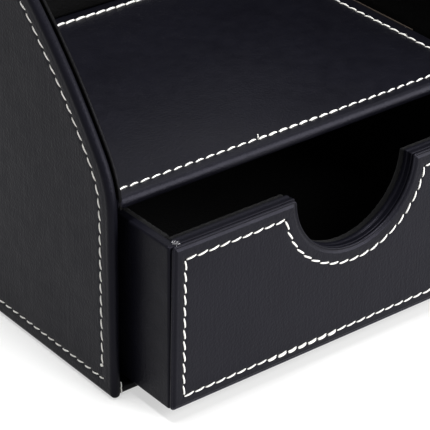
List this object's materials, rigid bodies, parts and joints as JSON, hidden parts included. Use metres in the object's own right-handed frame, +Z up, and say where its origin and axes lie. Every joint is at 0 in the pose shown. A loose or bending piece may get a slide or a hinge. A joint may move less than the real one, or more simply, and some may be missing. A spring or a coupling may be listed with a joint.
{
  "type": "memo pad holder",
  "caption": "Desk memo pad holder wrapped in dark leather, with curved side panels, an open tray and a drawer with a finger notch under it.",
  "frame": {"origin": "on the surface the holder stands on, at the middle of the housing's footprint, on the underside of the felt sheet", "axes": "+X right, +Y back, away from the drawer front, +Z up"},
  "size_m": [0.16, 0.1442, 0.145],
  "materials": {
    "leather": "fine-grain synthetic leather, satin",
    "greyboard": "pressed greyboard, matte",
    "support_board": "black paper-faced board, matte",
    "felt": "black felt",
    "runner_paper": "smooth black paper",
    "suede_lining": "black flocked lining"
  },
  "bodies": {
    "housing": {"left_side_board": "greyboard", "left_side_cover": "leather", "left_side_liner": "leather", "right_side_board": "greyboard", "right_side_cover": "leather", "right_side_liner": "leather", "back_board": "greyboard", "back_cover": "leather", "back_liner": "leather", "shelf_board": "greyboard", "shelf_cover": "leather", "base_board": "greyboard", "base_cover": "leather", "base_felt": "felt", "left_support_wall": "support_board", "right_support_wall": "support_board", "cavity_back_wall": "support_board", "runner_lining": "runner_paper"},
    "drawer": {"drawer_front_board": "greyboard", "drawer_front_cover": "leather", "drawer_inner_front_board": "greyboard", "drawer_left_board": "greyboard", "drawer_right_board": "greyboard", "drawer_rear_board": "greyboard", "drawer_box_cover": "leather", "drawer_bottom_board": "greyboard", "drawer_bottom_cover": "leather", "drawer_front_lining": "suede_lining", "drawer_rear_lining": "suede_lining", "drawer_left_lining": "suede_lining", "drawer_right_lining": "suede_lining", "drawer_floor_lining": "suede_lining"}
  },
  "joints": [
    {"name": "drawer_slide", "type": "slide", "parent": "housing", "child": "drawer", "axis": [0, -1, 0], "range_m": [-0.0212, 0.0638]}
  ]
}
